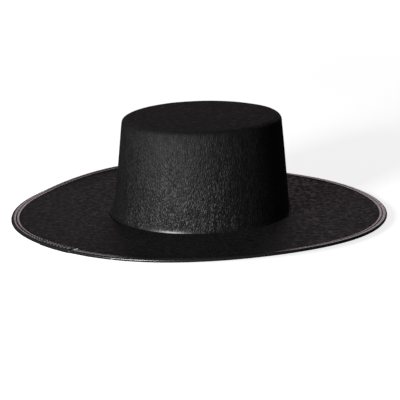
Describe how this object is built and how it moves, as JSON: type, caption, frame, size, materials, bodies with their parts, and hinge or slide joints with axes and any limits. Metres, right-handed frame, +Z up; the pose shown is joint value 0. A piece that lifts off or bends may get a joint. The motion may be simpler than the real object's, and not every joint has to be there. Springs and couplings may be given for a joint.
{
  "type": "wide-brim hat",
  "caption": "Black pressed-felt hat with a flat-topped, slightly tapering crown and a broad, gently waved brim edged with a folded satin tape.",
  "frame": {"origin": "centre of the brim's outline, on the surface that the brim rests on", "axes": "+Z up through the crown, -Y towards the front of the hat, +X towards the wearer's left"},
  "size_m": [0.38, 0.3996, 0.1037],
  "materials": {
    "felt": "matt pressed felt with a fine fibrous grain",
    "tape": "satin woven tape, folded and stitched"
  },
  "bodies": {
    "root": {"felt_body": "felt", "brim_binding": "tape"}
  },
  "joints": []
}
